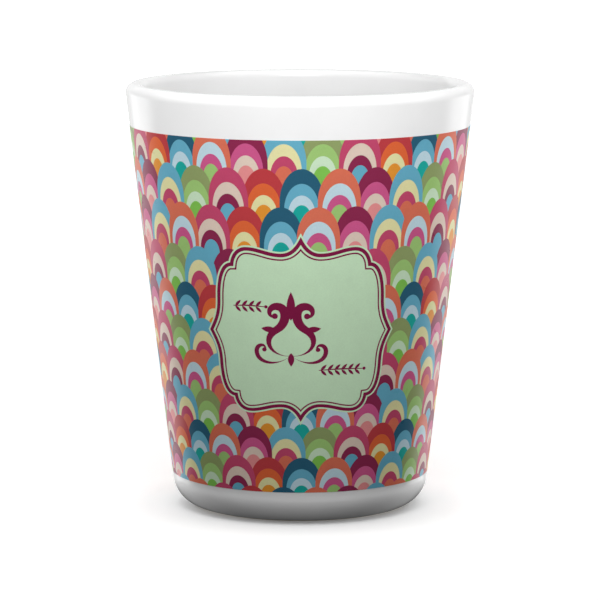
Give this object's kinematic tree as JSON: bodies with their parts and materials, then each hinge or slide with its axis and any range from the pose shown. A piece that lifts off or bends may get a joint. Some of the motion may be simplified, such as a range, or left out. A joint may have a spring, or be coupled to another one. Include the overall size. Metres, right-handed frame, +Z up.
{
  "type": "shot glass",
  "caption": "Small tapered ceramic cup with a rounded lip, a thick bottom on a dry foot ring, a printed band round the wall and a label panel on the front.",
  "frame": {"origin": "centre of the foot, on the surface that the cup stands on", "axes": "+Z up along the cup's axis, from the foot to the lip; -Y is the front, where the label is; +X is to the right of someone who looks at the label"},
  "size_m": [0.049, 0.049, 0.06],
  "materials": {
    "bare_ceramic": "unglazed, fine grained",
    "white_glaze": "gloss",
    "wrap_inks": "gloss print in many colours",
    "label_inks": "gloss print, pale green and plum"
  },
  "bodies": {
    "root": {"ceramic_body": "bare_ceramic", "glaze_coat": "white_glaze", "underside_glaze": "white_glaze", "wrap_print": "wrap_inks", "label_print": "label_inks"}
  },
  "joints": []
}
